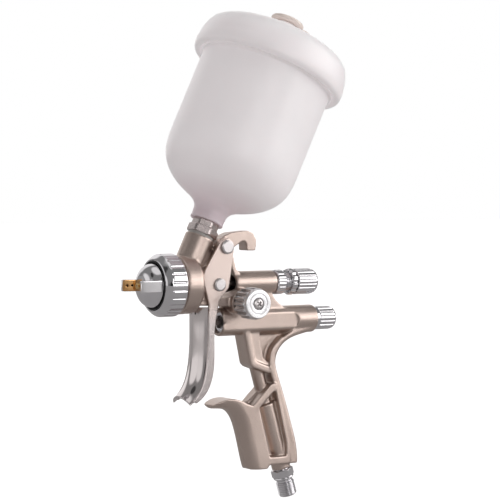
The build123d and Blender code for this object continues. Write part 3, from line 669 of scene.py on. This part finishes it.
LID_OUTSIDE = [(112.4, 48.5), (111.6, 51.6), (113.6, 53.9), (118.0, 54.4), (127.0, 53.1), (131.8, 51.4),
               (135.4, 49.0), (137.8, 45.2), (139.3, 38.0), (140.0, 10.4), (142.0, 9.2), (151.9, 8.6),
               (151.9, 3.0)]
LID_INSIDE = [(138.6, 3.0), (137.6, 30.0), (136.4, 42.0), (134.8, 45.0), (134.0, 45.6), (133.2, 45.6),
              (133.2, 48.5)]
lid_line = soften_loop(LID_OUTSIDE + LID_INSIDE, 2.2, 7)
lid_line = fill_in(np.vstack([lid_line, lid_line[:1]]), 1.2)[:-1]
lid = lathe("cup_cover", lid_line, CUP_FOOT, CUP_AXIS, lid_plastic, "cup_lid", turns=240, reach=shoulder_ribs)

# %% [markdown]
# ## Vent plug and its strap
# A soft cream plug closes the air hole in the lid. Its broad head has a rolled rim, and a thin strap
# loops from it to a post, so it can't be lost. The strap is a flat section carried along a curve.

# %% Vent plug
# a profile has (height above the foot, radius) in millimetres
PLUG = [(142.6, 0.0), (142.6, 2.2), (143.8, 2.9), (152.1, 2.9), (152.1, 10.8), (153.0, 11.85), (154.4, 11.85),
        (155.3, 10.9), (155.0, 9.6), (155.4, 8.2), (155.8, 0.0)]
plug = lathe("vent_plug", fill_in(soften(PLUG, 0.8, 6), 1.0), CUP_FOOT, CUP_AXIS, vent_plastic, "vent_cap",
             turns=96, loop=False)


# %% Strap
def smooth_path(points, count=60):
    """Curve through all points: for each coordinate, the polynomial of the lowest degree that passes
    through them, read at count even steps of the running chord length."""
    p = np.asarray(points, float)
    run = np.concatenate([[0], np.cumsum(np.linalg.norm(np.diff(p, axis=0), axis=1))])
    run /= run[-1]
    t = np.linspace(0, 1, count)
    return np.column_stack([np.polyval(np.polyfit(run, column, len(p) - 1), t) for column in p.T])


def carried(section, path, place, across, up, side):
    """Grid of points: the section's x goes along the path's own normal and its y along side. The
    path's two coordinates are measured along across and up from place."""
    slope = np.gradient(path, axis=0)
    slope /= np.linalg.norm(slope, axis=1)[:, None]
    normal = np.column_stack([-slope[:, 1], slope[:, 0]])
    flat = path[:, None, :] + normal[:, None, :] * section[None, :, :1]
    return (np.asarray(place) + MM * (flat[..., :1] * across + flat[..., 1:] * up
            + section[None, :, 1:] * side))


def capped(rows, columns):
    """Faces of a tube made of closed rings, with a flat fan over each end."""
    tube = grid_faces(rows, columns, False, True)
    ring = np.arange(columns // 2 - 1)
    fan = np.column_stack([ring, ring + 1, columns - 2 - ring, columns - 1 - ring])
    return np.vstack([tube, fan, fan + (rows - 1) * columns])


# across the cup's axis, from the plug towards the strap's post
to_strap = span("vent_strap")[2] - CUP_FOOT
cup_u = to_strap - CUP_AXIS * (to_strap @ CUP_AXIS)
cup_u /= np.linalg.norm(cup_u)
cup_v = np.cross(CUP_AXIS, cup_u)
strap_section = soften_loop([(-0.45, -1.5), (0.45, -1.5), (0.45, 1.5), (-0.45, 1.5)], 0.3, 4)
strap_path = smooth_path([(11.4, 153.9), (18.4, 154.7), (25.2, 151.5), (28.9, 146.4), (29.3, 142.7)])
strap_points = carried(strap_section, strap_path, CUP_FOOT, cup_u, CUP_AXIS, cup_v)
strap = piece_from("vent_tether", strap_points, capped(*strap_points.shape[:2]), vent_plastic, "vent_strap")
eye_line = soften_loop([(142.0, 1.8), (143.3, 1.8), (143.3, 3.4), (142.0, 3.4)], 0.3, 4)
POST_OUT = 27.0
post_place = CUP_FOOT + MM * POST_OUT * cup_u
eye = lathe("tether_eye", eye_line, post_place, CUP_AXIS, vent_plastic, "vent_strap", turns=48)
POST = [(139.0, 0.0), (139.0, 1.55), (143.9, 1.55), (143.9, 2.2), (144.6, 1.8), (144.95, 0.0)]
post = lathe("tether_post", fill_in(soften(POST, 0.3, 4), 0.6), post_place, CUP_AXIS, lid_plastic, "cup_lid",
             turns=32, loop=False)

print("plug, strap, eye and post made")

# %% [markdown]
# ## Cup union
# The cup's metal neck has a broad spanner hexagon, a narrower hexagon moulded into the plastic above
# it, and a thread below that goes into the gun. One profile does it, with the radius held back to a
# hexagon over two stretches; the profile's own chamfers round the hexagons' corners, as on a lathe.

# %% Union
UNION = [(-21.5, 5.2), (-21.5, 6.2), (-20.7, 6.95), (-9.6, 6.95), (-9.6, 9.9), (-8.8, 10.85), (-5.2, 10.85),
         (-4.4, 9.9), (-4.4, 8.6), (-4.0, 9.2), (-0.1, 9.2), (-0.06, 8.9), (12.6, 8.9), (12.6, 5.2)]
union_line = soften_loop(UNION, 0.25, 4)
union_line = fill_in(np.vstack([union_line, union_line[:1]]), 0.5)[:-1]
union_shape = chain(six_sided(19.0, -9.61, -4.39, 0.3), six_sided(16.4, -4.2, -0.05, 0.25),
                    threaded(1.5, 0.5, -21.0, -9.8))
cup_union = lathe("cup_union", union_line, CUP_FOOT, CUP_AXIS, nut_steel, "cup_connector", turns=120,
                  reach=union_shape)

# %% [markdown]
# ## Air cap ring
# The ring screws the air cap onto the gun. It is chromed and has long shallow flutes that stop short
# of its smooth front rim. The flutes are rounded at their ends by a smooth step along the axis.

# %% Ring
head_place = x_end("air_cap_ring")
RING = [(0.0, 16.8), (0.0, 17.7), (0.8, 18.7), (2.4, 20.0), (3.6, 20.9), (4.6, 21.28), (14.6, 21.28),
        (15.58, 20.6), (15.58, 17.98), (1.98, 17.98), (1.98, 16.8)]
ring_line = soften_loop(RING, 0.6, 5)
ring_line = fill_in(np.vstack([ring_line, ring_line[:1]]), 0.45)[:-1]
cap_ring = lathe("cap_ring", ring_line, head_place, X_AXIS, bright_plate, "air_cap_ring", turns=288,
                 reach=flutes(24, 0.62, 0.24, 3.4, 15.3, 1.4, outside=19.5))

# %% Cap seal
seal_place = x_end("cap_seal")
SEAL = [(0.0, 15.95), (0.0, 16.5), (2.2, 16.5), (2.2, 15.95)]
cap_gasket = lathe("cap_gasket", soften_loop(SEAL, 0.2, 4), seal_place, X_AXIS, black_seal, "cap_seal",
                   turns=120)

# %% [markdown]
# ## Air cap
# The cap is a polished dome with a hole for the paint nozzle and two horns, whose drillings blow
# the round spray flat. The dome is turned. A horn is a rounded rectangle that changes size along
# the needle's direction; its drillings are pressed a little into the grid, and their depth is
# painted near black as shade.

# %% Dome
cap_place = np.array([span("air_cap")[1][0], head_place[1], head_place[2]])
DOME = [(0.0, 14.2), (0.0, 17.3), (1.9, 17.3), (1.9, 15.2), (5.0, 14.95), (8.0, 14.1), (10.6, 12.2),
        (12.3, 9.4), (12.8, 7.2), (12.8, 2.7), (11.4, 2.7), (7.4, 7.2), (3.4, 9.6), (1.6, 14.2)]
dome_reach = np.array([0.3, 0.3, 0.3, 0.3, 1.4, 1.6, 1.6, 1.3, 0.6, 0.3, 0.3, 1.0, 1.0, 0.5])
dome_line = soften_loop(DOME, dome_reach, 6)
dome_line = fill_in(np.vstack([dome_line, dome_line[:1]]), 0.6)[:-1]
dome = lathe("cap_dome", dome_line, cap_place, -X_AXIS, bright_plate, "air_cap", turns=192)


# %% Horns
HORN_FORWARD = np.array([5.0, 8.0, 10.0, 12.4, 14.0, 17.0, 19.4, 20.2])   # from the cap's rear face
HORN_OUTER = np.array([15.0, 15.28, 15.24, 15.16, 15.1, 14.95, 14.8, 14.3])
HORN_INNER = np.array([11.5, 10.2, 9.2, 8.2, 8.7, 10.0, 11.1, 11.6])
HORN_HALF = 4.0
JETS = (14.4, 17.6)


def horn(name, side):
    """Grid of rounded rectangles: y runs from the inner to the outer line and z over plus and minus
    the half height, both read from the tables at the distance forward. Within a drilling's radius
    the inner face sinks outwards by 1.1 mm, by a smooth step of the distance from its middle, and
    the same mask is painted near black on the plate as the shade inside the drilling."""
    section = soften_loop([(-1, -1), (1, -1), (1, 1), (-1, 1)], 0.16, 5)
    section = fill_in(np.vstack([section, section[:1]]), 0.035)[:-1]
    forward = np.unique(np.concatenate([np.linspace(HORN_FORWARD[0], 19.6, 96), np.linspace(19.6, 20.2, 8)]))
    outer = np.interp(forward, HORN_FORWARD, HORN_OUTER)[:, None]
    inner = np.interp(forward, HORN_FORWARD, HORN_INNER)[:, None]
    tip = np.sqrt(np.clip(1 - ((forward - 19.4) / 0.85).clip(0) ** 2, 0.04, 1))[:, None]
    y = (outer + inner) / 2 + section[None, :, 0] * (outer - inner) / 2 * (0.75 + 0.25 * tip)
    z = section[None, :, 1] * HORN_HALF * (0.9 + 0.1 * tip)
    f = np.broadcast_to(forward[:, None], y.shape)
    gilt = np.broadcast_to(section[None, :, 0] < -0.97, y.shape).astype(float)
    hole_and_shade = np.zeros_like(y)
    for jet in JETS:
        hole_and_shade = np.maximum(hole_and_shade, 1 - rise(np.hypot(f - jet, z), 0.62, 0.86))
    hole_and_shade = hole_and_shade * gilt
    y = y + 1.1 * hole_and_shade
    points = cap_place + MM * np.stack([-f, side * y, z], -1)
    # the same mask paints the drillings near black, as painted shade inside them
    marks = {"gilt": gilt, "hole_and_shade": hole_and_shade}
    return piece_from(name, points, capped(*y.shape), gilt_and_chrome, "air_cap", marks)


horns = [horn("horn_near", -1), horn("horn_far", 1)]

# %% [markdown]
# ## Paint control
# Behind the barrel come a fluted bush with a fine thread, a scalloped lock ring and a long fluted
# knob. The thread between them is a true helix: the cut depends on the height minus the angle.

# %% Bush, lock ring and paint knob
bush_place = x_end("fluid_bush")
BUSH = [(0.0, 4.3), (0.0, 6.2), (8.6, 6.2), (8.6, 7.9), (9.4, 8.58), (15.2, 8.58), (16.0, 7.9), (16.0, 6.1),
        (16.6, 6.58), (22.3, 6.58), (23.0, 5.9), (23.0, 4.3)]
bush_line = soften_loop(BUSH, 0.3, 4)
bush_line = fill_in(np.vstack([bush_line, bush_line[:1]]), 0.12)[:-1]
barrel_bush = lathe("barrel_bush", bush_line, bush_place, X_AXIS, bright_plate, "fluid_bush", turns=144,
                    reach=chain(flutes(18, 0.5, 0.34, 9.3, 15.4, 0.8, outside=7.6),
                                threaded(1.0, 0.55, 16.4, 22.4)))
lock_place = x_end("lock_ring")
LOCK = [(0.0, 6.7), (0.0, 8.6), (0.9, 9.28), (3.7, 9.28), (4.6, 8.6), (4.6, 7.2), (2.8, 7.2), (2.8, 6.7)]
lock_line = soften_loop(LOCK, 0.5, 5)
lock_line = fill_in(np.vstack([lock_line, lock_line[:1]]), 0.3)[:-1]
knob_lock = lathe("knob_lock", lock_line, lock_place, X_AXIS, bright_plate, "lock_ring", turns=160,
                  reach=flutes(10, 0.9, 0.42, -1.0, 6.0, 0.5, outside=8.0))
knob_place = x_end("fluid_knob")
PAINT_KNOB = [(0.0, 6.9), (0.0, 8.5), (0.5, 9.03), (13.6, 9.03), (15.6, 8.5), (17.0, 7.4), (17.58, 5.6),
              (17.58, 0.0)]
knob_line = fill_in(soften(PAINT_KNOB, np.array([0.3, 0.3, 1.0, 1.0, 0.9, 0.8]), 6), 0.4)
hollow_line = fill_in(np.array([(14.8, 0.0), (14.8, 6.9), (0.0, 6.9)]), 2.0)
paint_knob = lathe("paint_knob", np.vstack([hollow_line[:-1], knob_line]), knob_place, X_AXIS, bright_plate,
                   "fluid_knob", turns=200, reach=flutes(20, 0.55, 0.34, -1.0, 15.8, 2.2, outside=8.0),
                   loop=False)

# %% Air knob
air_place = x_end("air_knob")
AIR_KNOB = [(0.0, 5.3), (0.0, 7.7), (0.5, 8.18), (11.4, 8.18), (13.2, 7.7), (14.4, 6.8), (14.98, 5.2),
            (14.98, 0.0)]
air_line = fill_in(soften(AIR_KNOB, np.array([0.3, 0.3, 1.0, 1.0, 0.9, 0.8]), 6), 0.4)
air_hollow = np.array([(7.6, 0.0), (7.6, 5.3)])
air_control = lathe("air_control", np.vstack([air_hollow, air_line]), air_place, X_AXIS, bright_plate,
                    "air_knob", turns=192, reach=flutes(16, 0.7, 0.36, -1.0, 13.6, 2.0, outside=7.0),
                    loop=False)

# %% [markdown]
# ## Spray width knob
# The knob beside the body has deep round flutes, a satin turned face with one groove, and a
# cross-head screw in its middle. The cross is pressed into the screw's own grid along the axis.

# %% Width knob
width_high, width_middle = span("fan_knob")[1:]
width_place = np.array([width_middle[0], width_high[1], width_middle[2]])
face_finish = turned_face(width_place)
WIDTH_KNOB = [(0.0, 7.6), (0.0, 10.1), (0.8, 10.88), (12.0, 10.88), (12.9, 10.4), (13.2, 10.15), (14.7, 10.0),
              (15.36, 9.5), (15.38, 7.3), (14.95, 7.1), (14.95, 6.8), (15.38, 6.6), (15.38, 4.2), (14.2, 4.1),
              (14.2, 2.1), (4.3, 2.1), (4.3, 7.6)]
width_line = soften_loop(WIDTH_KNOB, 0.28, 4)
width_line = fill_in(np.vstack([width_line, width_line[:1]]), 0.35)[:-1]
width_knob = lathe("width_knob", width_line, width_place, (0, -1, 0), face_finish, "fan_knob", turns=224,
                   reach=flutes(16, 1.5, 0.62, -1.0, 13.0, 0.7, outside=9.6))


# %% Screw
def cross(s, a, r):
    """Sinks the head by 1.5 mm inside two crossed bars, each 4.2 mm long and 1.1 mm wide."""
    x, y = r * np.cos(a + pi / 4), r * np.sin(a + pi / 4)
    bar = np.maximum((1 - rise(np.abs(x), 0.48, 0.6)) * (1 - rise(np.abs(y), 1.9, 2.2)),
                     (1 - rise(np.abs(y), 0.48, 0.6)) * (1 - rise(np.abs(x), 1.9, 2.2)))
    return -1.5 * bar * (s > 6.6)


screw_place = np.array([width_middle[0], span("fan_knob_screw")[1][1], width_middle[2]])
SCREW = [(0.0, 0.0), (0.0, 1.5), (5.4, 1.5), (5.4, 3.9), (6.5, 3.6), (7.1, 2.4), (7.25, 0.0)]
screw_line = fill_in(soften(SCREW, 0.25, 4), 0.09)
knob_screw = lathe("knob_screw", screw_line, screw_place, (0, -1, 0), satin_plate, "fan_knob_screw",
                   turns=160, lift=cross, loop=False)

# %% [markdown]
# ## Air inlet
# The hose screws onto a quarter-inch pipe thread, 19 turns to the inch, below a collar and a
# spanner hexagon. It is one closed profile, measured up from the free end, bored right through.

# %% Inlet
inlet = next(row for row in frame["record"]["mounts"] if row["name"] == "air_inlet")
INLET_UP = -np.array(inlet["axis"], float)
PIPE_PITCH = 25.4 / 19
INLET = [(0.0, 3.6), (0.0, 5.5), (1.0, 6.57), (10.2, 6.57), (10.8, 5.5), (12.0, 5.5), (12.8, 6.9),
         (13.6, 7.28), (14.3, 6.9), (14.4, 7.3), (15.0, 8.05), (19.0, 8.05), (19.58, 7.3), (19.58, 5.2),
         (30.9, 5.2), (30.9, 3.6)]
inlet_line = soften_loop(INLET, 0.25, 4)
inlet_line = fill_in(np.vstack([inlet_line, inlet_line[:1]]), 0.14)[:-1]
inlet_shape = chain(threaded(PIPE_PITCH, 0.86, 0.2, 10.6), six_sided(14.0, 14.38, 19.5, 0.2))
nipple = lathe("hose_nipple", inlet_line, inlet["pos_m"], INLET_UP, bright_plate, "inlet_nipple", turns=96,
               reach=inlet_shape)

# %% [markdown]
# ## Guide bush of the air valve
# In the open end of the lower barrel sits a chromed bush with a deep hexagon for its key, through
# which the valve's stem comes out towards the trigger.

# %% Guide bush
guide_place = x_end("air_valve_bush")
GUIDE = [(0.4, 4.6), (0.0, 5.2), (0.0, 6.7), (0.5, 7.5), (1.1, 7.5), (1.15, 6.4), (7.7, 6.4), (7.7, 4.2),
         (5.0, 4.2), (5.0, 2.1), (2.9, 2.1), (2.9, 4.6)]
guide_line = soften_loop(GUIDE, 0.2, 4)


def key_hole(s, a, r):
    """Radius of the recess: a hexagon 8.4 mm across, from its floor to its mouth."""
    off = (a + pi / 6) % (pi / 3) - pi / 6
    return np.where((s < 2.95) & (r > 3.9) & (r < 4.85), 4.2 / np.cos(off), r + 0 * a)


guide_bush = lathe("guide_bush", guide_line, guide_place, X_AXIS, bright_plate, "air_valve_bush", turns=120,
                   reach=key_hole)

# %% [markdown]
# ## Finger blade
# The trigger's blade is a polished plate that bows forward between the cheeks and curls out at its
# tip. It is a thin bowed section carried down a smooth curve, so it reflects in one clean sweep.

# %% Blade
PIVOT = np.array(joint["trigger_pull"]["pos_m"])
# measured from the trigger's pivot, forward and down, in millimetres
BLADE_PATH = [(-19.1, -40.8), (-19.5, -62.4), (-20.5, -79.4), (-23.5, -92.0), (-31.1, -100.6)]
HALF, BOW = 10.96, 5.6


def bowed_section():
    """Outline of the bowed plate: two arcs through (bow, half), (0, 0), (bow, -half), one 1.3 mm
    behind the other, as x = R - sqrt(R^2 - y^2), joined by round edges."""
    bend = (HALF ** 2 + BOW ** 2) / (2 * BOW)
    y = np.linspace(-HALF + 0.25, HALF - 0.25, 49)
    x = bend - np.sqrt(bend ** 2 - y ** 2)
    front = np.column_stack([x, y])
    back = np.column_stack([x + 1.3, y])[::-1]
    side = np.array([[BOW + 0.35, HALF], [BOW + 0.95, HALF]])
    return np.vstack([front, side, back, side[::-1] * (1, -1)])


blade_section = bowed_section()
blade_path = smooth_path(BLADE_PATH, 120)
Y_AXIS, Z_AXIS = np.array([0.0, 1.0, 0.0]), np.array([0.0, 0.0, 1.0])
blade_points = carried(blade_section, blade_path, PIVOT, X_AXIS, Z_AXIS, Y_AXIS)
local = (blade_points - PIVOT) / MM
rivets = np.minimum(np.hypot(local[..., 1] - 2.6, local[..., 2] + 45.0),
                    np.hypot(local[..., 1] + 2.6, local[..., 2] + 45.0))
# the rivet holes are not cut; this mask only paints them near black, as painted shade inside them
blade_hole_shade = 1 - rise(rivets, 0.6, 1.0)
blade = piece_from("finger_blade", blade_points, capped(*blade_points.shape[:2]), blade_plate,
                   "trigger_blade", {"hole_and_shade": blade_hole_shade})
